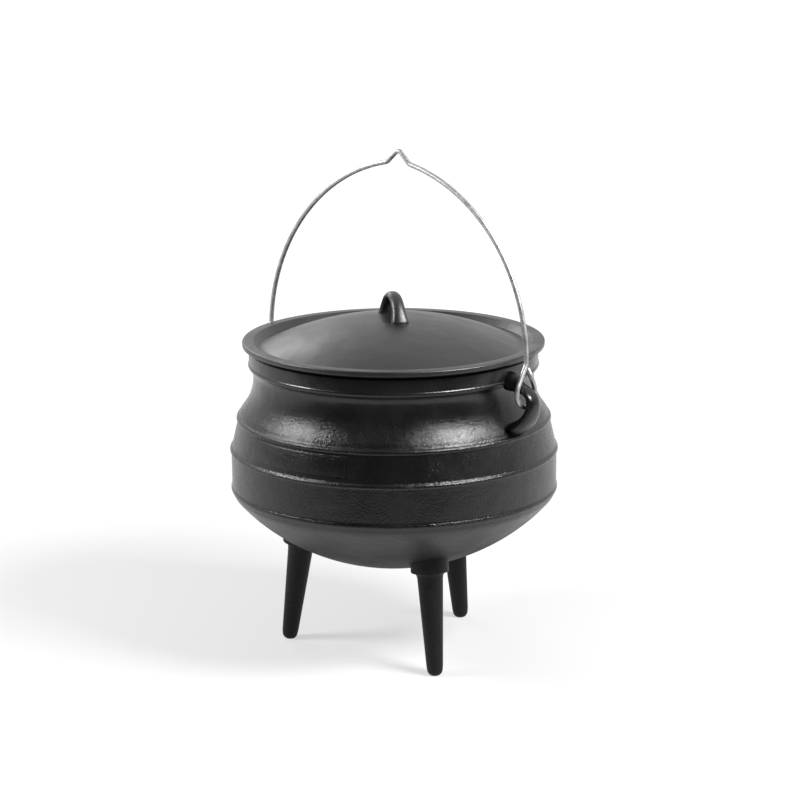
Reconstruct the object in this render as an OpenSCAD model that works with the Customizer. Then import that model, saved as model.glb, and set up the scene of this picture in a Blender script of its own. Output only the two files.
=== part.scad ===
// Three-legged cast iron cauldron with a dished lid and a wire bail.
// Millimetres, +Z up. The origin is on the ground, under the middle of the pot.
// The two ears lie on the X axis, and the bail swings about a line through them.

/* [Pot body] */
// Gap between the ground and the lowest point of the bowl
clearance = 83; // [60:1:120]
// Radius of the sphere that the bowl is part of
bowl_r = 202; // [185:1:230]
// How far the straight belly wall stands out past the top of the tapered wall
belly_out = 7.2; // [4:0.2:12]
// Height of the straight belly wall, up to the middle ring
belly_h = 42; // [30:1:60]
// How far the top of the tapered wall stands out past the neck
taper_out = 14.5; // [11:0.1:18]
// Height of the tapered wall between the middle ring and the upper ring
taper_h = 30.4; // [22:0.2:40]
// Outer radius of the neck at its narrowest
neck_r = 132.1; // [115:0.1:145]
// Height of the neck's narrowest place above the upper ring
neck_h = 39.6; // [34:0.2:46]
// Radius of the hollow curve of the shoulder
shoulder_curve = 50; // [44:1:60]
// Thickness of the cast wall
wall = 4.5; // [3.5:0.1:6]

/* [Rim band] */
// How far the band round the mouth stands out past the neck
band_out = 3.9; // [2.4:0.1:6]
// Height of the rim above the neck's narrowest place
band_h = 25; // [22:0.2:30]
// Radius of the hollow curve between the neck and the band
band_fillet = 12; // [8:0.5:16]
// Radius of the rounded outer edge of the rim
rim_edge = 1.2; // [0.5:0.1:2]
// Radius of the bead along the band's lower edge
lip_bead = 1.6; // [1:0.1:2.5]
// How far that bead stands out of the band
lip_proud = 0.8; // [0.3:0.1:1.2]
// Height of that bead above the end of the hollow curve
lip_up = 2.6; // [1.5:0.1:4]

/* [Raised rings] */
// Radius of the half-round section of the rings
ring_bead = 3; // [2:0.1:4.5]
// How far the upper ring stands out of the wall
upper_proud = 1.2; // [0.5:0.1:2]
// How far the middle ring stands out of the wall
middle_proud = 1.5; // [0.5:0.1:2]
// How far the lower ring stands out of the wall
lower_proud = 0.8; // [0.4:0.1:2]
// Height of the lower ring above the edge of the bowl
lower_up = 4.8; // [3:0.1:12]

/* [Plaque] */
// Height of the blank raised plaque under the upper ring
plaque_h = 19; // [12:0.5:21]
// Gap between the plaque and the middle of the upper ring
plaque_down = 4; // [3:0.1:6]
// How far the plaque stands out of the wall
plaque_proud = 0.9; // [0.4:0.1:1.5]
// Angle at which the plaque starts
plaque_from = -110.5; // [-125:0.5:-95]
// Angle that the plaque covers
plaque_sweep = 42.5; // [20:0.5:50]

/* [Legs] */
// Number of legs
leg_count = 3; // [3:1:4]
// Angle of the first leg
leg_from = 90; // [0:1:119]
// Distance on the ground from below the belly's wall in to the middle of each foot
leg_in = 50.2; // [42:0.2:62]
// Outward lean of each leg
leg_splay = 7.6; // [3:0.1:10]
// Diameter of a leg at the ground
foot_d = 14.7; // [12:0.1:19]
// Diameter of a leg under its collar
leg_top_d = 24.6; // [21:0.1:27]
// Radius of the rounded edge of a foot
foot_edge = 6.2; // [2:0.1:6.8]
// How deep the rounded foot is ground off flat
foot_flat = 0.8; // [0.4:0.1:1.5]
// Diameter of the collar at the top of a leg
collar_d = 35.5; // [30:0.5:38]
// Height of the collar's lower edge above the lowest point of the bowl
collar_up = 13.4; // [8:0.2:16]
// Radius of the rounded lower edge of the collar
collar_edge = 0.8; // [0.5:0.1:1.4]

/* [Ears] */
// How far an ear reaches out past the band
ear_out = 32; // [28:0.2:38]
// Thickness of an ear's outer bar
ear_bar = 10; // [8:0.2:11]
// Half the width of an ear at its top arm
ear_arm_w = 8; // [7:0.1:8.4]
// Half the width of an ear at its foot
ear_foot_w = 16; // [12:0.5:20]
// Gap between the rim's top and the top of an ear
ear_drop = 3; // [2:0.2:6]
// Radius of an ear's rounded corners
ear_round = 5; // [3:0.1:6]

/* [Lid] */
// How far the lid reaches out past the band
lid_over = 6.2; // [3:0.1:8]
// Height of the lid's flat rim above the pot's rim
lid_rim_h = 8.5; // [7:0.1:11]
// Width of the lid's flat rim
lid_rim_w = 11; // [8:0.1:12]
// Radius of the rounded upper edge of the lid's rim
lid_edge = 2; // [1:0.1:2.5]
// Radius of the rounded lower edge of the lid's rim
lid_under = 4; // [2.5:0.1:4.5]
// Distance from the pot's mouth in to the foot of the slope inside the lid's rim
groove_in = 1.8; // [1:0.1:3]
// Height of the groove's floor above the pot's rim
groove_h = 2.6; // [2:0.1:4]
// Width of the groove's floor, between that slope and the foot of the dome
groove_w = 4.1; // [3:0.1:6]
// Height of the dome's top above the pot's rim
dome_h = 29.8; // [28:0.2:32]
// Thickness of the lid
lid_wall = 5; // [4:0.1:6]
// Gap between the pot's mouth and the locating ring under the lid
lid_play = 1; // [0.6:0.1:2]
// Depth of the locating ring below the pot's rim
locate_h = 4; // [2:0.2:7]
// Width of the locating ring
locate_w = 7; // [6:0.2:9]

/* [Lid handle] */
// Angle of the plane that the handle stands in
handle_turn = -36; // [-60:1:60]
// Half the width of the hole in the handle
handle_hole_w = 18; // [14:0.5:24]
// Height of the hole in the handle above the dome's top
handle_hole_h = 16.2; // [13:0.2:24]
// Thickness of the handle's strap
handle_t = 7.5; // [6:0.1:9]
// Half the width of the handle's strap
handle_w = 6.2; // [5:0.1:8]
// How far the strap's feet spread
handle_flare = 4.5; // [2:0.1:6]
// Radius of the strap's rounded corners
handle_round = 3; // [2:0.1:3.4]

/* [Bail] */
// Diameter of the bail's wire
wire_d = 4.6; // [4:0.1:5]
// Gap between the rim's top and the line that the bail swings about
hinge_drop = 21; // [20:0.1:22]
// Gap between the middle of the wire and the ear's outer bar
eye_inset = 3.7; // [3.4:0.1:4.4]
// Radius of the eye, to the middle of the wire
eye_r = 13.5; // [13.2:0.1:14]
// Height above the hinge line at which the wire starts to bend into the eye
eye_h = 28; // [26:0.5:34]
// Radius of that bend
eye_bend = 10; // [5:0.5:12]
// Gap between the cut end of the wire and the side of the bail
eye_gap = 0.3; // [0.2:0.1:1]
// How much larger the arch's radius is than the distance out to the eyes
arch_over = 20.7; // [14:0.1:30]
// Inward lean of the bail's legs
leg_lean = 1.6; // [0:0.1:4]
// How far the hanging kink rises over the arch
kink_h = 8.9; // [6:0.1:14]
// Slope of the kink's sides
kink_slope = 44; // [36:1:50]
// Radius of the kink's top
kink_top = 4.5; // [3.5:0.5:6]
// Radius of the bend at the foot of the kink
kink_foot = 8; // [6:1:12]
// Backward lean of the bail as it stands
bail_lean = 2.5; // [0:0.5:10]

/* [Hidden] */
$fn = 40;

iron_black = "#2c2c2d";
bright_wire = "#b9bcbf";

// Radii of the pot, each from the neck outwards
taper_r = neck_r + taper_out;
belly_r = taper_r + belly_out;
band_r = neck_r + band_out;
mouth_r = neck_r - wall;
leg_circle = belly_r - leg_in;

// Heights up the pot, each from the one below it
bowl_z = clearance + bowl_r;
belly_z = bowl_z - sqrt(pow(bowl_r, 2) - pow(belly_r, 2));
lower_z = belly_z + lower_up;
middle_z = belly_z + belly_h;
upper_z = middle_z + taper_h;
neck_z = upper_z + neck_h;
rim_z = neck_z + band_h;
band_foot_z = neck_z + sqrt(pow(band_fillet, 2) - pow(band_fillet - band_r + neck_r, 2));

// Radius of the outside of the tapered wall at height z
function taper_at(z) = belly_r + (taper_r - belly_r) * (z - middle_z) / taper_h;
// Radius of the outside of the hollow shoulder at height z
function shoulder_at(z) =
    neck_r + shoulder_curve - sqrt(pow(shoulder_curve, 2) - pow(neck_z - z, 2));

// Places on a leg, measured along it from the ground
collar_s = (clearance + collar_up) / cos(leg_splay);
collar_top_s = (bowl_z - sqrt(pow(bowl_r - wall, 2) - pow(leg_circle, 2))) / cos(leg_splay);
collar_fillet = (collar_d - leg_top_d) / 2 - collar_edge;

// The line that the bail swings about, and the plane of its eyes
hinge_z = rim_z - hinge_drop;
ear_r = band_r + ear_out;
ear_hole_r = ear_r - ear_bar;
eye_x = ear_hole_r - eye_inset;

// Outline of an ear as seen along Y, from inside the wall, out over the top arm and
// down to the upper ring: inner x and z, outer x and z, and half the width
ear_top_z = rim_z - ear_drop;
ear_under_z = hinge_z - 1.5;
ear_path = [
    [neck_r - 2, ear_under_z, neck_r - 2, ear_top_z, ear_arm_w],
    [band_r + 1, ear_under_z, band_r + 5.5, ear_top_z - 0.5, ear_arm_w],
    [ear_hole_r - 12, ear_under_z, ear_hole_r - 7, hinge_z + 8.4, ear_arm_w],
    [ear_hole_r - 5, ear_under_z - 0.2, ear_r - 10, hinge_z + 3.4, ear_arm_w],
    [ear_hole_r - 1.4, ear_under_z - 2, ear_r - 3.6, hinge_z - 1.5, ear_arm_w + 0.3],
    [ear_hole_r, ear_under_z - 5.5, ear_r - 0.6, hinge_z - 8, ear_arm_w + 0.8],
    [ear_hole_r, hinge_z - 13, ear_r - 0.4, hinge_z - 15.5, ear_arm_w + 1.8],
    [ear_hole_r - 2.6, hinge_z - 20.4, ear_r - 3, hinge_z - 24.5, ear_arm_w + 3.4],
    [shoulder_at(upper_z + 15) + 9, upper_z + 17, ear_r - 9.5, upper_z + 8.6, ear_foot_w - 2],
    [shoulder_at(upper_z + 14) - 1, upper_z + 14, taper_r - 1.5, upper_z, ear_foot_w]
];

// The lid's radii, and the sphere that its dome is part of
lid_r = band_r + lid_over;
groove_r = mouth_r - groove_in;
dome_foot_r = groove_r - groove_w;
dome_rise = dome_h - groove_h;
dome_r = (pow(dome_foot_r, 2) + pow(dome_rise, 2)) / (2 * dome_rise);
dome_z = rim_z + dome_h - dome_r;

// The eye's wire runs straight from its bend to the ring, at this angle to the leg
eye_reach = sqrt(pow(eye_bend, 2) + pow(eye_h, 2));
eye_angle = asin((eye_bend + eye_r) / eye_reach) - atan(eye_bend / eye_h);
wire_r = wire_d / 2;
// The cut end stops just short of the other side of the eye
eye_end_side = eye_r / tan(eye_angle)
    - (wire_r + eye_gap + wire_r * cos(2 * eye_angle)) / sin(2 * eye_angle);

// The arch's centres lie past the middle, so that the two sides meet under the kink
arch_r = eye_x + arch_over;
arch_x = arch_r * cos(leg_lean) + eye_h * sin(leg_lean) - eye_x;
arch_h = eye_h * cos(leg_lean) - arch_r * sin(leg_lean);
crown_h = arch_h + sqrt(pow(arch_r, 2) - pow(arch_x, 2)) + kink_h;
// End of the kink's rounded top, and the direction of its side
kink_p = [kink_top * sin(kink_slope), crown_h - kink_top * (1 - cos(kink_slope))];
kink_d = [cos(kink_slope), -sin(kink_slope)];
kink_n = [sin(kink_slope), cos(kink_slope)];
kink_q = kink_p + kink_foot * kink_n - [-arch_x, arch_h];
kink_qd = kink_q * kink_d;
kink_side = -kink_qd
    - sqrt(pow(kink_qd, 2) - kink_q * kink_q + pow(arch_r + kink_foot, 2));
kink_c = kink_p + kink_foot * kink_n + kink_side * kink_d;
arch_end = atan2(kink_c[1] - arch_h, kink_c[0] + arch_x);
foot_turn = arch_end + kink_slope - 90;

// Steps along the wire's bends, along the arch and round the eye, and sides of the wire
bend_steps = 4;
arch_steps = 30;
ring_steps = 22;
wire_sides = 16;
// Facets round the whole pot and lid, and round small rounded edges
body_facets = 96;
edge_facets = 20;
bead_facets = 28;
dome_facets = 240;

// Catmull-Rom curve through four rows of numbers, at t from 0 to 1
function curve_at(a, b, c, d, t) =
    b + t / 2 * ((c - a) + t * ((2 * a - 5 * b + 4 * c - d) + t * (3 * b - a - 3 * c + d)));
// A list of rows with steps rows for each gap of the list p
function smooth_rows(p, steps) = [
    for (i = [0 : len(p) - 2]) for (k = [0 : steps - 1])
        curve_at(p[max(i - 1, 0)], p[i], p[i + 1], p[min(i + 2, len(p) - 1)], k / steps),
    p[len(p) - 1]
];
// Points of a rectangle with rounded corners, of half sizes a and b and corner radius c
corner_steps = 4;
function rounded_box(a, b, c) = [
    for (q = [0 : 3]) for (k = [0 : corner_steps])
        let (t = 90 * (q + k / corner_steps),
             sx = (q == 0 || q == 3) ? 1 : -1,
             sy = (q < 2) ? 1 : -1)
            [sx * (a - c) + c * cos(t), sy * (b - c) + c * sin(t)]
];
// A ring of points across a bar, from its inner to its outer line in the X-Z plane
function bar_ring(row, corner) =
    let (p = [row[0], 0, row[1]],
         q = [row[2], 0, row[3]],
         half = norm(q - p) / 2,
         dir = (q - p) / (2 * half),
         c = min(corner, 0.95 * half, 0.95 * row[4]))
    [for (v = rounded_box(half, row[4], c)) (p + q) / 2 + v[0] * dir - [0, v[1], 0]];

// A closed skin over rings of points, each ring with the same number of points
module loft(rings) {
    n = len(rings[0]);
    last = len(rings) - 1;
    points = [for (r = rings) for (p = r) p];
    sides = [
        for (i = [0 : last - 1]) for (j = [0 : n - 1])
            let (k = (j + 1) % n)
                each [[i * n + j, (i + 1) * n + j, i * n + k],
                      [i * n + k, (i + 1) * n + j, (i + 1) * n + k]]
    ];
    caps = [
        [for (j = [0 : n - 1]) j],
        [for (j = [0 : n - 1]) last * n + n - 1 - j]
    ];
    polyhedron(points, concat(sides, caps));
}

// Half section of the vessel below the band, made smaller all round by inset
module vessel_section(inset) {
    intersection() {
        translate([0, bowl_z]) circle(bowl_r - inset, $fn = body_facets);
        square([belly_r - inset, middle_z]);
    }
    difference() {
        polygon([
            [0, middle_z],
            [belly_r - inset, middle_z],
            [taper_at(neck_z) - inset, neck_z],
            [0, neck_z]
        ]);
        translate([neck_r + shoulder_curve, neck_z])
            circle(shoulder_curve + inset, $fn = body_facets);
    }
}

// Half section of the band round the mouth, with its hollow foot and its bead
module band_section() {
    difference() {
        translate([0, neck_z]) square([band_r, band_h - rim_edge]);
        translate([neck_r + band_fillet, neck_z]) circle(band_fillet);
    }
    translate([0, band_foot_z]) square([band_r - rim_edge, rim_z - band_foot_z]);
    translate([band_r - rim_edge, rim_z - rim_edge]) circle(rim_edge, $fn = edge_facets);
    translate([band_r + lip_proud - lip_bead, band_foot_z + lip_up])
        circle(lip_bead, $fn = edge_facets);
}

// Half-round raised ring on a wall of radius r at height z
module ring_section(r, z, proud) {
    translate([r + proud - ring_bead, z]) circle(ring_bead, $fn = bead_facets);
}

// The hollow inside the pot
module cavity() {
    rotate_extrude($fn = body_facets) {
        vessel_section(wall);
        translate([0, neck_z]) square([mouth_r, band_h + 1]);
    }
}

// Blank raised plaque on the tapered wall
module plaque() {
    top_z = upper_z - plaque_down;
    foot_z = top_z - plaque_h;
    sunk = wall / 2;
    rotate([0, 0, plaque_from])
        rotate_extrude(angle = plaque_sweep, $fn = body_facets)
            polygon([
                [taper_at(foot_z) - sunk, foot_z],
                [taper_at(foot_z) + plaque_proud, foot_z],
                [taper_at(top_z) + plaque_proud, top_z],
                [taper_at(top_z) - sunk, top_z]
            ]);
}

// Half section of a leg with its rounded foot and its collar, along the leg's own line
module leg_section() {
    foot_r = foot_d / 2;
    collar_r = collar_d / 2;
    // The tapered shank, with its lower corner rounded
    intersection() {
        polygon([
            [0, -foot_flat],
            [foot_r, -foot_flat],
            [leg_top_d / 2, collar_s],
            [0, collar_s]
        ]);
        union() {
            translate([0, foot_edge - foot_flat]) square([collar_r, collar_s]);
            translate([0, -foot_flat]) square([foot_r - foot_edge, foot_edge]);
            translate([foot_r - foot_edge, foot_edge - foot_flat]) circle(foot_edge, $fn = bead_facets);
        }
    }
    // The hollow curve from the shank out to the collar
    difference() {
        translate([0, collar_s - collar_fillet])
            square([leg_top_d / 2 + collar_fillet, collar_fillet]);
        translate([leg_top_d / 2 + collar_fillet, collar_s - collar_fillet])
            circle(collar_fillet, $fn = bead_facets);
    }
    // The collar, with its lower corner rounded
    translate([0, collar_s]) square([collar_r - collar_edge, collar_edge]);
    translate([collar_r - collar_edge, collar_s + collar_edge]) circle(collar_edge, $fn = edge_facets);
    translate([0, collar_s + collar_edge])
        square([collar_r, collar_top_s - collar_s - collar_edge]);
}

module leg() {
    translate([leg_circle, 0, 0])
        rotate([0, -leg_splay, 0])
            rotate_extrude() leg_section();
}

// Lug with an eye for the bail, on the +X side
module ear() {
    rows = smooth_rows(ear_path, 3);
    loft([for (row = rows) bar_ring(row, ear_round)]);
}

module pot() {
    color(iron_black) difference() {
        union() {
            rotate_extrude($fn = body_facets) {
                vessel_section(0);
                band_section();
                ring_section(taper_r, upper_z, upper_proud);
                ring_section(belly_r, middle_z, middle_proud);
                ring_section(belly_r, lower_z, lower_proud);
            }
            plaque();
            for (i = [0 : leg_count - 1]) rotate([0, 0, leg_from + i * 360 / leg_count]) leg();
            ear();
            mirror([1, 0, 0]) ear();
        }
        cavity();
        // The feet are ground off level
        translate([-belly_r, -belly_r, -clearance]) cube([2 * belly_r, 2 * belly_r, clearance]);
    }
}

// Half section of the lid's rim, groove and locating ring
module lid_rim_section() {
    top_z = rim_z + lid_rim_h;
    under_r = lid_r - lid_under;
    difference() {
        union() {
            translate([groove_r, rim_z]) square([under_r - groove_r, lid_rim_h]);
            translate([groove_r, rim_z + lid_under])
                square([lid_r - groove_r, lid_rim_h - lid_under - lid_edge]);
            translate([under_r, rim_z + lid_under]) circle(lid_under, $fn = bead_facets);
            translate([groove_r, rim_z + lid_under])
                square([lid_r - lid_edge - groove_r, lid_rim_h - lid_under]);
            translate([lid_r - lid_edge, top_z - lid_edge]) circle(lid_edge, $fn = edge_facets);
        }
        // The slope from the groove up to the flat rim
        polygon([
            [groove_r, rim_z + groove_h],
            [lid_r - lid_rim_w, top_z],
            [lid_r - lid_rim_w, top_z + 1],
            [groove_r - 1, top_z + 1],
            [groove_r - 1, rim_z + groove_h]
        ]);
    }
    locate_r = mouth_r - lid_play;
    translate([locate_r - locate_w, rim_z - locate_h]) square([locate_w, locate_h]);
    translate([locate_r - locate_w, rim_z]) square([under_r - locate_r + locate_w, groove_h]);
}

// Half section of the dome, as a shell of one thickness
module dome_section() {
    intersection() {
        translate([0, dome_z]) difference() {
            circle(dome_r, $fn = dome_facets);
            circle(dome_r - lid_wall, $fn = dome_facets);
        }
        translate([0, rim_z - locate_h]) square([groove_r, dome_h + locate_h + 1]);
    }
}

// Loop handle on top of the dome: a strap that bends over from foot to foot
module handle() {
    foot_z = dome_z + sqrt(pow(dome_r, 2) - pow(handle_hole_w, 2));
    hole_h = rim_z + dome_h + handle_hole_h - foot_z;
    sink = lid_wall / 2;
    arch = [for (a = [-90 : 10 : 90])
        let (spread = pow(1 - cos(a), 3) * sign(a))
            [handle_hole_w * sin(a), foot_z + hole_h * cos(a),
             (handle_hole_w + handle_t) * sin(a) + handle_flare * spread,
             foot_z + (hole_h + handle_t) * cos(a),
             handle_w + handle_flare / 2 * abs(spread)]];
    // Each end goes on straight down into the dome
    first = arch[0] - [0, sink, 0, sink + 0.5, 0];
    last = arch[len(arch) - 1] - [0, sink, 0, sink + 0.5, 0];
    rotate([0, 0, handle_turn])
        loft([for (row = concat([first], arch, [last])) bar_ring(row, handle_round)]);
}

module lid() {
    color(iron_black) {
        rotate_extrude($fn = body_facets) {
            lid_rim_section();
            dome_section();
        }
        handle();
    }
}

// One side of the bail on +X, from the top of the kink down to the cut end. Each row is
// a place on the wire's middle line and two directions square to the wire there.
function side_rows() = concat(
    [for (k = [0 : bend_steps])
        arch_row([0, crown_h - kink_top], kink_top, 90 - kink_slope * k / bend_steps)],
    [for (k = [0 : bend_steps])
        hollow_row(kink_c, kink_foot, 270 - kink_slope + foot_turn * k / bend_steps)],
    [for (k = [1 : arch_steps])
        arch_row([-arch_x, arch_h], arch_r, arch_end + (leg_lean - arch_end) * k / arch_steps)],
    [for (k = [1 : bend_steps])
        eye_row([eye_bend, eye_h], eye_bend, 180 + eye_angle * k / bend_steps, 1)],
    [for (k = [0 : ring_steps])
        eye_row([0, 0], eye_r, eye_angle - (180 + 2 * eye_angle) * k / ring_steps, -1)],
    [end_row()]
);
// A row on an arc about c in the plane of the arch, bulging outwards, at angle a
function arch_row(c, r, a) =
    [[c[0] + r * cos(a), 0, c[1] + r * sin(a)], [-cos(a), 0, -sin(a)], [0, 1, 0]];
// The same on an arc that bulges inwards
function hollow_row(c, r, a) =
    [[c[0] + r * cos(a), 0, c[1] + r * sin(a)], [cos(a), 0, sin(a)], [0, 1, 0]];
// A row of the eye, on an arc about c in the plane that leans with the leg
function eye_row(c, r, a, side) =
    let (y = -c[0] - r * cos(a), z = c[1] + r * sin(a))
        lean_row([0, y, z], [0, side * -cos(a), side * sin(a)]);
// The last row, at the cut end
function end_row() =
    let (y = eye_r * cos(eye_angle) - eye_end_side * sin(eye_angle),
         z = eye_r * sin(eye_angle) + eye_end_side * cos(eye_angle))
        lean_row([0, y, z], [0, -cos(eye_angle), -sin(eye_angle)]);
function lean_row(p, out) =
    [[eye_x - p[2] * sin(leg_lean), p[1], p[2] * cos(leg_lean)],
     [-cos(leg_lean), 0, -sin(leg_lean)],
     [-out[2] * sin(leg_lean), out[1], out[2] * cos(leg_lean)]];
function mirror_x(v) = [-v[0], v[1], v[2]];
// A ring of points round the wire
function wire_ring(row) = [
    for (k = [0 : wire_sides - 1])
        let (a = 360 * k / wire_sides)
            row[0] + wire_r * (cos(a) * row[1] + sin(a) * row[2])
];

// The whole bail is one length of wire
module bail() {
    side = side_rows();
    last = len(side) - 1;
    other = [for (k = [last : -1 : 1]) [for (v = side[k]) mirror_x(v)]];
    color(bright_wire)
        translate([0, 0, hinge_z]) rotate([-bail_lean, 0, 0])
            loft([for (row = concat(other, side)) wire_ring(row)]);
}

pot();
lid();
bail();
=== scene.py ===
import math

import bpy
from mathutils import Matrix, Vector


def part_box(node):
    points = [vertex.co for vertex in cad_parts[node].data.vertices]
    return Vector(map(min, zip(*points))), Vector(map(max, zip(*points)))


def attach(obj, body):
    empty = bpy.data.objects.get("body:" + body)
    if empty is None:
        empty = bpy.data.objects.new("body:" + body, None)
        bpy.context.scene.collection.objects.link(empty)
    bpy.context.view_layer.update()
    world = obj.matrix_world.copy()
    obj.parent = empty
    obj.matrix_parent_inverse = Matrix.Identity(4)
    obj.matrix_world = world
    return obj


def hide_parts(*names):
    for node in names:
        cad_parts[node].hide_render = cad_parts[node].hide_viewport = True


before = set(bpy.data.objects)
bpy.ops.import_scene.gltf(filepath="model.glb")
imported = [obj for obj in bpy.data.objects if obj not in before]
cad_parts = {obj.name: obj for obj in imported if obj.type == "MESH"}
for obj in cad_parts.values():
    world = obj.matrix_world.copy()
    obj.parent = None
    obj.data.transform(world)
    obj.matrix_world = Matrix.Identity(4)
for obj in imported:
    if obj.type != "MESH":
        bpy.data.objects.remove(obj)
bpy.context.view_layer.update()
mm = 0.001

# Camera. It stands off the pot's right front and looks a little down through a long lens.
# Its place and turn were fitted to the rings, the rim, the lid and the three feet.
view_turn = math.radians(39)
view_reach = 2603.4 * mm
view_height = 869.2 * mm
view_pan = math.radians(0.129)
view_pitch = math.radians(13.589)
view_roll = math.radians(-0.286)
bpy.ops.object.camera_add(
    location=(view_reach * math.sin(view_turn), -view_reach * math.cos(view_turn), view_height)
)
camera = bpy.context.object
camera.rotation_euler = (
    Matrix.Rotation(view_turn - view_pan, 3, "Z")
    @ Matrix.Rotation(math.pi / 2 - view_pitch, 3, "X")
    @ Matrix.Rotation(view_roll, 3, "Z")
).to_euler()
camera.data.sensor_width = 36
camera.data.lens = 127.7
bpy.context.scene.camera = camera
bpy.context.scene.view_settings.view_transform = "Standard"


# Floor. A wide sheet of matt white studio paper, which keeps the pot's shadow. It ends a short
# way in front of the pot, and behind it runs out into the white background.
def linear(hex_colour):
    """An sRGB hex colour as the linear red, green, blue and alpha that a shader takes."""
    parts = [int(hex_colour[i : i + 2], 16) / 255 for i in (1, 3, 5)]
    return [c / 12.92 if c <= 0.04045 else ((c + 0.055) / 1.055) ** 2.4 for c in parts] + [1]


def add_node(tree, kind, links=None, **settings):
    """Adds a node with its settings; links gives each input a value or another node's output."""
    made = tree.nodes.new(kind)
    for name, value in settings.items():
        setattr(made, name, value)
    for name, source in (links or {}).items():
        if isinstance(source, bpy.types.NodeSocket):
            tree.links.new(source, made.inputs[name])
        else:
            made.inputs[name].default_value = source
    return made


def seen_directly(tree):
    """1 for rays from the camera, a reflection or clear glass, and 0 for diffuse light."""
    path = add_node(tree, "ShaderNodeLightPath").outputs
    mirrored = add_node(
        tree, "ShaderNodeMath", {0: path["Is Glossy Ray"], 1: path["Is Transmission Ray"]},
        operation="ADD",
    )
    return add_node(
        tree, "ShaderNodeMath", {0: path["Is Camera Ray"], 1: mirrored.outputs[0]},
        operation="ADD", use_clamp=True,
    ).outputs[0]


camera_side = Vector((math.sin(view_turn), -math.cos(view_turn), 0))
shadow_side = Vector((-math.cos(view_turn), -math.sin(view_turn), 0))
paper_white = "#9a9a9a"
shadow_reach = 0.25
paper_near, paper_far = 0.35, 2.0
lift_near, lift_far = 0.55, 1.0


def studio_paper():
    """Matt white paper. Seen directly and in reflections it also glows with painted light: just
    white round the pot, so that a shadow shows on it, and whiter further out, where the lamps no
    longer reach."""
    material = bpy.data.materials.new("white_studio_paper")
    material.use_nodes = True
    tree = material.node_tree
    tree.nodes.clear()
    matt = add_node(tree, "ShaderNodeBsdfDiffuse", {"Color": linear(paper_white)})
    place = add_node(tree, "ShaderNodeTexCoord").outputs["Object"]
    # Painted light: the glow is weakest round a point shadow_reach towards the shadow side, where
    # the right lamp's shadow falls, and it washes out the fainter shadow that the left lamp throws
    # to the right.
    out = add_node(
        tree, "ShaderNodeVectorMath", {0: place, 1: shadow_side * shadow_reach},
        operation="DISTANCE",
    )
    whiter = add_node(
        tree, "ShaderNodeMapRange",
        {"Value": out.outputs["Value"], "From Min": paper_near, "From Max": paper_far,
         "To Min": lift_near, "To Max": lift_far},
    )
    lift = add_node(
        tree, "ShaderNodeMath", {0: seen_directly(tree), 1: whiter.outputs[0]},
        operation="MULTIPLY",
    )
    glow = add_node(tree, "ShaderNodeEmission", {"Strength": lift.outputs[0]})
    both = add_node(tree, "ShaderNodeAddShader", {0: matt.outputs[0], 1: glow.outputs[0]})
    add_node(tree, "ShaderNodeOutputMaterial", {"Surface": both.outputs[0]})
    return material


paper_size = 30
paper_front = 0.55
bpy.ops.object.select_all(action="DESELECT")
bpy.ops.mesh.primitive_plane_add(
    size=paper_size,
    location=camera_side * (paper_front - paper_size / 2),
    rotation=(0, 0, view_turn),
)
bpy.ops.object.transform_apply(location=True, rotation=True, scale=True)
floor = bpy.context.object
floor.name = "floor"
floor.data.materials.append(studio_paper())

# Studio light. Two soft boxes, above the pot's right front and its left, make the shine on its
# shoulder and along its rings, and a weak one behind lights the lid. What the iron mirrors is
# white behind the pot and dark behind the camera; room_level is the room's light on matt things.
room_level = 0.24
white_behind = 0.88
dark_front = 0.08
dim_floor = 0.26
world = bpy.data.worlds.new("white_room")
world.use_nodes = True
bpy.context.scene.world = world
sky = world.node_tree
sky.nodes.clear()
ray = add_node(sky, "ShaderNodeTexCoord").outputs["Generated"]
forward = add_node(sky, "ShaderNodeVectorMath", {0: ray, 1: camera_side}, operation="DOT_PRODUCT")
rise = add_node(sky, "ShaderNodeSeparateXYZ", {0: ray}).outputs["Z"]
front = add_node(
    sky, "ShaderNodeMapRange",
    {"Value": rise, "From Min": -0.25, "From Max": 0.1, "To Min": dim_floor, "To Max": dark_front},
)
mirrored_room = add_node(
    sky, "ShaderNodeMapRange",
    {"Value": forward.outputs["Value"], "From Min": -0.3, "From Max": 0.5,
     "To Min": white_behind, "To Max": front.outputs[0]},
)
level = add_node(
    sky, "ShaderNodeMapRange",
    {"Value": seen_directly(sky), "To Min": room_level, "To Max": mirrored_room.outputs[0]},
)
white_to_camera = add_node(
    sky, "ShaderNodeMath",
    {0: add_node(sky, "ShaderNodeLightPath").outputs["Is Camera Ray"], 1: level.outputs[0]},
    operation="MAXIMUM",
)
room = add_node(
    sky, "ShaderNodeBackground", {"Color": (1, 1, 1, 1), "Strength": white_to_camera.outputs[0]}
)
add_node(sky, "ShaderNodeOutputWorld", {"Surface": room.outputs[0]})


def soft_box(name, turn, reach, height, size, power):
    """An area lamp, turn degrees to the right of the camera's side, facing the pot's middle."""
    angle = view_turn + math.radians(turn)
    place = Vector((reach * math.sin(angle), -reach * math.cos(angle), height))
    bpy.ops.object.light_add(type="AREA", location=place)
    lamp = bpy.context.object
    lamp.name = name
    lamp.rotation_euler = (Vector((0, 0, 0.2)) - place).to_track_quat("-Z", "Y").to_euler()
    lamp.data.shape = "RECTANGLE"
    lamp.data.size, lamp.data.size_y = size
    lamp.data.energy = power
    lamp.visible_camera = False


soft_box("right_box", 58, 1.2, 1.35, (0.65, 0.38), 40)
soft_box("left_box", -86, 1.3, 1.15, (0.5, 0.35), 19)
soft_box("back_box", -150, 1.4, 1.0, (0.8, 0.5), 4)


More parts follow.
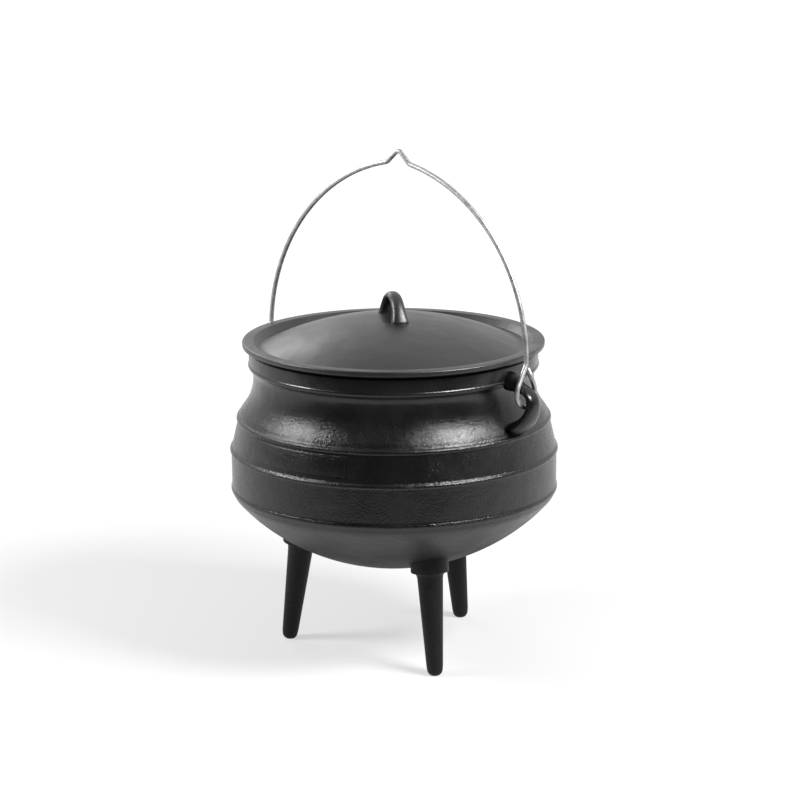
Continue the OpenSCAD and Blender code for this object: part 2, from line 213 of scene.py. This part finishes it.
# Pot. One sand casting in grey iron, 4.5 mm thick, with its rings, ears, plaque and three legs
# cast on, and a black seasoning baked over all of it.
ring_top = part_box("pot")[1].y
rim_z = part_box("pot")[1].z
ear_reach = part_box("pot")[1].x
wall = 4.5 * mm
middle_proud = 1.5 * mm
belly_r = ring_top - middle_proud
clearance = 83 * mm
bowl_r = 202 * mm
bowl_z = clearance + bowl_r
belly_z = bowl_z - math.sqrt(bowl_r**2 - belly_r**2)
lower_z = belly_z + 4.8 * mm
middle_z = belly_z + 42 * mm
taper_h = 30.4 * mm
taper_r = 146.6 * mm
upper_z = middle_z + taper_h
neck_z = rim_z - 25 * mm
neck_r = 132.1 * mm
shoulder_curve = 50 * mm
band_r = 136 * mm
band_fillet = 12 * mm
mouth_r = neck_r - wall
rim_edge = 1.2 * mm
rings = [(lower_z, 1.1 * mm), (middle_z, middle_proud), (upper_z, 1.8 * mm)]
ring_half = 2.7 * mm
ring_fillet = 0.25
ring_blend = 0.3
bowl_rounding = 2.4 * mm
shoulder_rounding = 0.8 * mm
belly_rounding = 0.5 * mm
bowl_end_z = belly_z - 14 * mm
lip_up = 2.2 * mm
lip_proud = 0.8 * mm
lip_half = 1.7 * mm


def soft_min(a, b, rounding):
    """The smaller of two radii, rounded where they cross."""
    return (a + b - math.sqrt((a - b) ** 2 + rounding**2)) / 2


def bead(z, middle, proud, half):
    """How far a raised ring stands out at height z: a half round with a small fillet each side."""
    off = abs(z - middle)
    fillet = ring_fillet * half
    if off >= half + fillet:
        return 0
    section_r = (half**2 + proud**2) / (2 * proud)
    round_out = math.sqrt(max(section_r**2 - off**2, 0)) - section_r + proud
    return (round_out + math.sqrt(round_out**2 + (ring_blend * fillet) ** 2)) / 2


def vessel_radius(z, inset=0):
    """Radius of the vessel's outside at height z, or of its inside with the wall as inset."""
    below = bowl_z - z
    bowl = math.sqrt(max((bowl_r - inset) ** 2 - below**2, 0))
    taper = belly_r - (belly_r - taper_r) * (z - middle_z) / taper_h - inset
    down = min(neck_z - z, shoulder_curve)
    shoulder = neck_r + shoulder_curve - math.sqrt((shoulder_curve + inset) ** 2 - down**2)
    straight = soft_min(bowl, belly_r - inset, bowl_rounding)
    upper = soft_min(taper, shoulder, shoulder_rounding) if z > middle_z else taper
    return soft_min(straight, upper, belly_rounding)


def spread(low, high, count):
    """count + 1 numbers from low to high."""
    return [low + (high - low) * k / count for k in range(count + 1)]


def near_ring(z):
    """Whether height z is on a raised ring, where the outline takes close steps."""
    return any(abs(z - ring) < ring_half + 0.3 * mm for ring, _ in rings)


def vessel_outline():
    """Radius and height from the middle of the bowl's outside, round the rim, to its inside."""
    steps = spread(bowl_end_z, neck_z, 220)
    heights = [z for i, z in enumerate(steps) if near_ring(z) or i % 5 == 0]
    last = math.acos((bowl_z - heights[0]) / bowl_r)
    outside = [
        (bowl_r * math.sin(a), bowl_z - bowl_r * math.cos(a)) for a in spread(0, last, 36)[:-1]
    ]
    outside += [
        (vessel_radius(z) + sum(bead(z, at, proud, ring_half) for at, proud in rings), z)
        for z in heights
    ]
    foot = math.sqrt(band_fillet**2 - (band_fillet - band_r + neck_r) ** 2)
    hollow = [
        (neck_r + band_fillet - math.sqrt(band_fillet**2 - rise**2), neck_z + rise)
        for rise in spread(0, foot, 7)[1:]
    ]
    lip_z = neck_z + foot + lip_up
    lip = [
        (band_r + bead(z, lip_z, lip_proud, lip_half), z)
        for z in spread(lip_z - lip_half, lip_z + lip_half, 8)
    ]
    edge = [
        (band_r - rim_edge + rim_edge * math.cos(a), rim_z - rim_edge + rim_edge * math.sin(a))
        for a in spread(0, math.pi / 2, 5)
    ]
    mouth = [
        (mouth_r + rim_edge, rim_z),
        (mouth_r + 0.3 * rim_edge, rim_z - 0.3 * rim_edge),
        (mouth_r, rim_z - rim_edge),
    ]
    inside = [(vessel_radius(z, wall), z) for z in spread(neck_z, bowl_end_z, 36)]
    deep = math.asin(min(inside[-1][0] / (bowl_r - wall), 1))
    floor_arc = [
        ((bowl_r - wall) * math.sin(a), bowl_z - (bowl_r - wall) * math.cos(a))
        for a in spread(deep, 0, 18)[1:]
    ]
    return outside + hollow + lip + edge + mouth + inside + floor_arc


def lathe(name, outline, steps, sweep=2 * math.pi):
    """Draws an outline edge by edge in the X-Z plane and spins it about the Z axis."""
    bpy.ops.object.select_all(action="DESELECT")
    bpy.ops.mesh.primitive_plane_add(size=mm)
    piece = bpy.context.object
    piece.name = piece.data.name = name
    bpy.ops.object.mode_set(mode="EDIT")
    bpy.ops.mesh.merge(type="CENTER")
    bpy.ops.transform.translate(value=(outline[0][0], 0, outline[0][1]))
    for (r0, z0), (r1, z1) in zip(outline, outline[1:]):
        bpy.ops.mesh.extrude_region_move(TRANSFORM_OT_translate={"value": (r1 - r0, 0, z1 - z0)})
    bpy.ops.mesh.select_all(action="SELECT")
    bpy.ops.mesh.spin(steps=steps, angle=-sweep, center=(0, 0, 0), axis=(0, 0, 1))
    bpy.ops.mesh.select_all(action="SELECT")
    bpy.ops.mesh.remove_doubles(threshold=0.01 * mm)
    bpy.ops.mesh.normals_make_consistent(inside=False)
    bpy.ops.object.mode_set(mode="OBJECT")
    return piece


vessel = lathe("pot_casting", vessel_outline(), 220)

# The three legs, each a tapered round shank with a rounded foot, ground off flat, and a collar
# under the bowl. They lean outwards, and one leg stands straight behind.
leg_circle = 103.6 * mm
leg_splay = math.radians(7.6)
foot_r = 7.35 * mm
leg_top_r = 12.3 * mm
collar_r = 17.75 * mm
foot_edge = 6.2 * mm
foot_flat = 0.8 * mm
collar_edge = 0.8 * mm
collar_up = 13.4 * mm
collar_s = (clearance + collar_up) / math.cos(leg_splay)
bowl_inside_z = bowl_z - math.sqrt((bowl_r - wall) ** 2 - leg_circle**2)
collar_top = bowl_inside_z / math.cos(leg_splay) + 1 * mm


def leg_outline():
    """Radius and height along the leg, from the middle of its foot up into the bowl's wall."""
    slope = (leg_top_r - foot_r) / collar_s
    foot = [
        (foot_r - foot_edge + foot_edge * math.sin(a), foot_edge * (1 - math.cos(a)) - foot_flat)
        for a in spread(0, math.pi / 2, 9)
    ]
    shank = [(foot_r + slope * s, s) for s in spread(foot_edge + 2 * mm, collar_s - 6 * mm, 10)]
    hollow_r = collar_r - leg_top_r - collar_edge
    hollow = [
        (leg_top_r + hollow_r * (1 - math.cos(a)), collar_s - hollow_r + hollow_r * math.sin(a))
        for a in spread(0, math.pi / 2, 6)
    ]
    corner = [
        (collar_r - collar_edge * (1 - math.sin(a)), collar_s + collar_edge * (1 - math.cos(a)))
        for a in spread(0, math.pi / 2, 5)
    ]
    top = [(collar_r, collar_top), (0, collar_top)]
    return [(0, -foot_flat)] + foot + shank + hollow + corner + top


leg = lathe("leg", leg_outline(), 48)
leg.rotation_euler = (0, -leg_splay, 0)
leg.location = (leg_circle, 0, 0)
bpy.ops.object.transform_apply(location=True, rotation=True, scale=True)
bpy.ops.object.mode_set(mode="EDIT")
bpy.ops.mesh.select_all(action="SELECT")
bpy.ops.mesh.bisect(
    plane_co=(0, 0, 0), plane_no=(0, 0, 1), use_fill=True, clear_inner=True, threshold=0.001 * mm
)
bpy.ops.object.mode_set(mode="OBJECT")
leg.rotation_euler = (0, 0, math.radians(90))
bpy.ops.object.transform_apply(location=True, rotation=True, scale=True)
legs = [leg]
for turn in (120, 240):
    bpy.ops.object.select_all(action="DESELECT")
    leg.select_set(True)
    bpy.context.view_layer.objects.active = leg
    bpy.ops.object.duplicate()
    copy = bpy.context.object
    copy.rotation_euler = (0, 0, math.radians(turn))
    bpy.ops.object.transform_apply(location=True, rotation=True, scale=True)
    legs.append(copy)


# The two ears, bars that come out of the band, bend down and run back into the upper ring, and
# leave an eye for the bail between them and the wall.
hinge_z = rim_z - 21 * mm
ear_bar = 10 * mm
ear_hole_r = ear_reach - ear_bar


def bar(name, rows, corner):
    """A rounded bar: each row has its inner and outer line in the X-Z plane and half its width."""
    bpy.ops.object.select_all(action="DESELECT")
    bpy.ops.mesh.primitive_circle_add(vertices=8, radius=mm, fill_type="NGON")
    piece = bpy.context.object
    piece.name = piece.data.name = name
    bpy.ops.object.mode_set(mode="EDIT")
    for i, (x0, z0, x1, z1, half) in enumerate(rows):
        if i:
            bpy.ops.mesh.extrude_region_move()
        bpy.ops.object.mode_set(mode="OBJECT")
        inner, outer = Vector((x0, 0, z0)), Vector((x1, 0, z1))
        across, deep = (outer - inner).normalized(), (outer - inner).length / 2
        cut = min(corner, 0.8 * deep, 0.8 * half)
        ring = [(deep, half - cut), (deep - cut, half), (cut - deep, half), (-deep, half - cut)]
        ring += [(-a, -b) for a, b in ring]
        ends = [v for v in piece.data.vertices if v.select]
        for vertex, (a, b) in zip(ends, ring):
            vertex.co = (inner + outer) / 2 + a * across + Vector((0, b, 0))
        bpy.ops.object.mode_set(mode="EDIT")
    bpy.ops.mesh.select_all(action="SELECT")
    bpy.ops.mesh.normals_make_consistent(inside=False)
    bpy.ops.object.mode_set(mode="OBJECT")
    smooth = piece.modifiers.new("smooth", "SUBSURF")
    smooth.levels = smooth.render_levels = 3
    bpy.ops.object.modifier_apply(modifier=smooth.name)
    return piece


def row(x0, z0, x1, z1, half):
    """A bar's row in millimetres: x from the eye's outside, z from the hinge line."""
    inner = (ear_hole_r + x0 * mm, hinge_z + z0 * mm)
    outer = (ear_hole_r + x1 * mm, hinge_z + z1 * mm)
    return (*inner, *outer, half * mm)


ear_rows = [
    row(-28, -1.5, -28, 18, 8),
    row(-21, -1.5, -16.5, 17.5, 8),
    row(-12, -1.5, -7, 8.4, 8),
    row(-5, -1.7, 0, 3.4, 8),
    row(-1.4, -3.5, 6.4, -1.5, 8.3),
    row(0, -7, 9.4, -8, 8.8),
    row(0, -13, 9.6, -15.5, 9.8),
    row(-2.6, -20.4, 7, -24.5, 11.4),
    row(-11.5, -27.5, 0.5, -35, 14),
    row(-22, -30.5, -12.9, -43.6, 16),
]
ear = bar("ear", ear_rows, 5 * mm)
bpy.ops.object.duplicate()
left_ear = bpy.context.object
left_ear.rotation_euler = (0, 0, math.pi)
bpy.ops.object.transform_apply(location=True, rotation=True, scale=True)


# The plaque, a thin raised panel between the upper two rings, left bare.
plaque_h = 19 * mm
plaque_top = upper_z - 4 * mm
plaque_foot = plaque_top - plaque_h
plaque_proud = 1.1 * mm
plaque_from = math.radians(-110.5)
plaque_sweep = math.radians(42.5)
plaque_merge = 0.05 * mm
plaque_outline = [
    (vessel_radius(plaque_foot) - wall / 2, plaque_foot),
    (vessel_radius(plaque_foot) + plaque_proud, plaque_foot),
    (vessel_radius(plaque_top) + plaque_proud, plaque_top),
    (vessel_radius(plaque_top) - wall / 2, plaque_top),
]
plaque = lathe("plaque", plaque_outline, 40, plaque_sweep)
plaque.rotation_euler = (0, 0, plaque_from)
bpy.ops.object.transform_apply(location=True, rotation=True, scale=True)
bpy.ops.object.mode_set(mode="EDIT")
bpy.ops.mesh.select_all(action="DESELECT")
bpy.ops.mesh.select_non_manifold()
bpy.ops.mesh.fill_holes(sides=0)
bpy.ops.object.mode_set(mode="OBJECT")
rounding = plaque.modifiers.new("rounding", "BEVEL")
rounding.width = 0.9 * mm
rounding.segments = 3
rounding.limit_method = "ANGLE"
bpy.ops.object.modifier_apply(modifier=rounding.name)
bpy.ops.object.mode_set(mode="EDIT")
bpy.ops.mesh.select_all(action="SELECT")
bpy.ops.mesh.remove_doubles(threshold=plaque_merge)
bpy.ops.mesh.dissolve_degenerate(threshold=plaque_merge)
bpy.ops.mesh.normals_make_consistent(inside=False)
bpy.ops.object.mode_set(mode="OBJECT")

bpy.ops.object.select_all(action="DESELECT")
for part in [plaque, ear, left_ear, *legs, vessel]:
    part.select_set(True)
bpy.context.view_layer.objects.active = vessel
bpy.ops.object.join()
pot_casting = bpy.context.object
bpy.ops.object.shade_smooth_by_angle(angle=math.radians(35))


dull_low, dull_high = 118 * mm, 150 * mm
dull_more = 0.3
dull_shine = 0.24


def sand_cast_iron(name, dark, light, shine, grain, grain_depth, rough, swell_depth, smooth_above):
    """Black seasoned cast iron. The sand of the mould leaves a grain that glitters in a hollow
    and is soft to the eye where the surface was rubbed down."""
    material = bpy.data.materials.new(name)
    material.use_nodes = True
    tree = material.node_tree
    shader = tree.nodes["Principled BSDF"]
    place = add_node(tree, "ShaderNodeTexCoord").outputs["Object"]
    # Patches about 40 mm wide, where the seasoning is thicker or thinner
    patch = add_node(
        tree, "ShaderNodeTexNoise", {"Vector": place, "Scale": 1 / (40 * mm), "Detail": 4.0}
    ).outputs["Fac"]
    # Grains of sand. Real ones are 0.3 mm; drawn at the given size, so that they show.
    grains = add_node(
        tree, "ShaderNodeTexNoise",
        {"Vector": place, "Scale": 1 / grain, "Detail": 2.0, "Roughness": 0.7},
    ).outputs["Fac"]
    # Slow unevenness of the casting's skin
    swell = add_node(
        tree, "ShaderNodeTexNoise", {"Vector": place, "Scale": 1 / (17 * mm), "Detail": 1.0}
    ).outputs["Fac"]
    mottle = add_node(
        tree, "ShaderNodeMix", {"Factor": 0.5, "A": patch, "B": grains}, data_type="FLOAT"
    )
    tint = add_node(tree, "ShaderNodeValToRGB", {"Fac": mottle.outputs[0]})
    tint.color_ramp.elements[0].position, tint.color_ramp.elements[1].position = 0.4, 0.6
    tint.color_ramp.elements[0].color = linear(dark)
    tint.color_ramp.elements[1].color = linear(light)
    tree.links.new(tint.outputs["Color"], shader.inputs["Base Color"])
    gloss = add_node(
        tree, "ShaderNodeMapRange",
        {"Value": patch, "From Min": 0.3, "From Max": 0.7,
         "To Min": rough - 0.05, "To Max": rough + 0.07},
    )
    height = add_node(tree, "ShaderNodeSeparateXYZ", {0: place}).outputs["Z"]
    # The bowl's underside and the legs are duller: nobody rubs them down
    dull = add_node(
        tree, "ShaderNodeMapRange",
        {"Value": height, "From Min": dull_low, "From Max": dull_high,
         "To Min": dull_more, "To Max": 0.0},
    )
    duller = add_node(
        tree, "ShaderNodeMath", {0: gloss.outputs[0], 1: dull.outputs[0]}, operation="ADD"
    )
    tree.links.new(duller.outputs[0], shader.inputs["Roughness"])
    polish = add_node(
        tree, "ShaderNodeMapRange",
        {"Value": dull.outputs[0], "From Max": dull_more, "To Min": shine, "To Max": dull_shine},
    )
    tree.links.new(polish.outputs[0], shader.inputs["Specular IOR Level"])
    # The grain is rubbed down to a third above this height
    rubbed = add_node(
        tree, "ShaderNodeMapRange",
        {"Value": height, "From Min": smooth_above - 14 * mm, "From Max": smooth_above,
         "To Min": 1.0, "To Max": 0.3},
    )
    uneven = add_node(
        tree, "ShaderNodeBump", {"Height": swell, "Strength": 1.0, "Distance": swell_depth}
    )
    grainy = add_node(
        tree, "ShaderNodeBump",
        {"Height": grains, "Strength": rubbed.outputs[0], "Distance": grain_depth,
         "Normal": uneven.outputs[0]},
    )
    tree.links.new(grainy.outputs[0], shader.inputs["Normal"])
    return material


pot_casting.data.materials.clear()
pot_casting.data.materials.append(
    sand_cast_iron(
        "black_sand_cast_iron", dark="#090909", light="#161617", shine=0.46, grain=1.8 * mm,
        grain_depth=0.46 * mm, rough=0.25, swell_depth=0.5 * mm, smooth_above=262 * mm,
    )
)
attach(pot_casting, "pot")
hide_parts("pot")


# Lid. A second sand casting: a dome inside a groove and a flat rim, with a ring under it that
# drops into the mouth. It lies loose on the pot.
lid_r = 142.2 * mm
lid_top = rim_z + 8.5 * mm
lid_rim_w = 11 * mm
groove_r = 125.8 * mm
groove_z = rim_z + 2.6 * mm
dome_r = 286 * mm
dome_top = rim_z + 29.8 * mm
dome_z = dome_top - dome_r
lid_wall = 5 * mm
locate_r = mouth_r - 1 * mm
locate_w = 7 * mm
locate_z = rim_z - 4 * mm
seat_r = band_r - 3 * mm
flange_up = 3.6 * mm
# Higher than the lid reaches, because its grain is the same all over
above_lid = 1


def rounded(corners):
    """An outline through corners of radius, height and rounding, each rounded corner an arc."""
    points = []
    for i, (r, z, rounding) in enumerate(corners):
        here = Vector((r, z))
        if not rounding:
            points.append((r, z))
            continue
        back = (Vector(corners[i - 1][:2]) - here).normalized()
        on = (Vector(corners[i + 1][:2]) - here).normalized()
        half = back.angle(on) / 2
        run = rounding / math.tan(half)
        middle = here + (back + on).normalized() * rounding / math.sin(half)
        start, end = here + back * run - middle, here + on * run - middle
        for k in range(7):
            points.append(tuple(middle + start.slerp(end, k / 6).normalized() * rounding))
    return points


def lid_outline():
    """Radius and height from the dome's top, over the rim and back under to the middle."""
    edge_at = math.acos((groove_z - dome_z) / dome_r)
    under = dome_r - lid_wall
    inner_at = math.asin((locate_r - locate_w) / under)
    dome = [
        (dome_r * math.sin(a), dome_z + dome_r * math.cos(a), 0) for a in spread(0, edge_at, 48)
    ]
    below = [
        (under * math.sin(a), dome_z + under * math.cos(a), 0) for a in spread(inner_at, 0, 20)
    ]
    corners = [
        (groove_r, groove_z, 0.5 * mm),
        (lid_r - lid_rim_w, lid_top, 1.2 * mm),
        (lid_r, lid_top, 1.6 * mm),
        (lid_r - 0.4 * mm, rim_z + flange_up, 0.8 * mm),
        (seat_r + 0.8 * mm, rim_z + flange_up - 0.6 * mm, 0.8 * mm),
        (seat_r, rim_z, 0.4 * mm),
        (locate_r, rim_z, 0.5 * mm),
        (locate_r, locate_z, 0.8 * mm),
        (locate_r - locate_w, locate_z, 0.8 * mm),
        (locate_r - locate_w, below[0][1] - 0.5 * mm, 0),
    ]
    return rounded(dome + corners + below)


lid_casting = lathe("lid_casting", lid_outline(), 220)

# The lid's loop handle, a flat-sided strap cast standing on the dome, with feet that spread.
handle_turn = math.radians(-36)
hole_half = 18 * mm
hole_top = dome_top + 16.2 * mm
strap_t = 7.5 * mm
strap_half = 6.2 * mm
flare = 4.5 * mm
strap_sunk = 3 * mm
strap_foot = dome_z + math.sqrt(dome_r**2 - hole_half**2)


def sunk(r):
    """A row of the strap moved down into the dome."""
    return (r[0], r[1] - strap_sunk, r[2], r[3] - strap_sunk, r[4])


def handle_rows():
    """The strap's rows from one foot over to the other, with each end sunk into the dome."""
    rows = []
    for a in [math.radians(d) for d in range(-90, 91, 10)]:
        out = (1 - math.cos(a)) ** 3
        rows.append((
            hole_half * math.sin(a),
            strap_foot + (hole_top - strap_foot) * math.cos(a),
            (hole_half + strap_t) * math.sin(a) + flare * math.copysign(out, a),
            strap_foot + (hole_top - strap_foot + strap_t) * math.cos(a),
            strap_half + flare / 2 * out,
        ))
    return [sunk(rows[0])] + rows + [sunk(rows[-1])]


handle = bar("handle", handle_rows(), 3 * mm)
handle.rotation_euler = (0, 0, handle_turn)
bpy.ops.object.transform_apply(location=True, rotation=True, scale=True)
bpy.ops.object.select_all(action="DESELECT")
handle.select_set(True)
lid_casting.select_set(True)
bpy.context.view_layer.objects.active = lid_casting
bpy.ops.object.join()
bpy.ops.object.shade_smooth_by_angle(angle=math.radians(35))
lid_casting.data.materials.clear()
# The lid's iron is drawn lighter than the pot's, with a stronger but broader shine and a finer
# grain.
lid_casting.data.materials.append(
    sand_cast_iron(
        "lighter_lid_iron", dark="#131314", light="#1e1e1f", shine=0.62, grain=1.4 * mm,
        grain_depth=0.12 * mm, rough=0.35, swell_depth=0.5 * mm, smooth_above=above_lid,
    )
)
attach(lid_casting, "pot")
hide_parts("lid")


# Bail. One length of 4.6 mm galvanised wire, bent cold round a former, with an eye closed
# through each ear and a peak in the middle to hang it by.
bpy.ops.object.select_all(action="DESELECT")
wire_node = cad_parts["bail"]
bail_wire = wire_node.copy()
bail_wire.data = wire_node.data.copy()
bail_wire.name = bail_wire.data.name = "bail_wire"
# The copy drops the labels that mark the CAD's own node
for label in list(bail_wire.keys()):
    del bail_wire[label]
bpy.context.scene.collection.objects.link(bail_wire)
bail_wire.parent = None
bail_wire.select_set(True)
bpy.context.view_layer.objects.active = bail_wire
bpy.ops.object.mode_set(mode="EDIT")
bpy.ops.mesh.select_all(action="SELECT")
bpy.ops.mesh.remove_doubles(threshold=0.005 * mm)
bpy.ops.object.mode_set(mode="OBJECT")
bpy.ops.object.shade_smooth_by_angle(angle=math.radians(50))


def galvanised_wire():
    """Drawn steel wire with a zinc coat: a light grey metal with a soft, slightly uneven shine."""
    material = bpy.data.materials.new("galvanised_wire")
    material.use_nodes = True
    tree = material.node_tree
    shader = tree.nodes["Principled BSDF"]
    shader.inputs["Metallic"].default_value = 1
    place = add_node(tree, "ShaderNodeTexCoord").outputs["Object"]
    # Spangle of the zinc, a few millimetres across
    spangle = add_node(
        tree, "ShaderNodeTexNoise", {"Vector": place, "Scale": 1 / (6 * mm), "Detail": 3.0}
    ).outputs["Fac"]
    tint = add_node(tree, "ShaderNodeValToRGB", {"Fac": spangle})
    tint.color_ramp.elements[0].position, tint.color_ramp.elements[1].position = 0.35, 0.65
    tint.color_ramp.elements[0].color = linear("#a6a6a6")
    tint.color_ramp.elements[1].color = linear("#bebebe")
    tree.links.new(tint.outputs["Color"], shader.inputs["Base Color"])
    gloss = add_node(
        tree, "ShaderNodeMapRange",
        {"Value": spangle, "From Min": 0.3, "From Max": 0.7, "To Min": 0.42, "To Max": 0.52},
    )
    tree.links.new(gloss.outputs[0], shader.inputs["Roughness"])
    # Fine marks of the draw plate
    marks = add_node(
        tree, "ShaderNodeTexNoise", {"Vector": place, "Scale": 1 / (0.9 * mm), "Detail": 1.0}
    ).outputs["Fac"]
    dent = add_node(
        tree, "ShaderNodeBump", {"Height": marks, "Strength": 0.15, "Distance": 0.02 * mm}
    )
    tree.links.new(dent.outputs[0], shader.inputs["Normal"])
    return material


bail_wire.data.materials.clear()
bail_wire.data.materials.append(galvanised_wire())
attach(bail_wire, "bail")
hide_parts("bail")
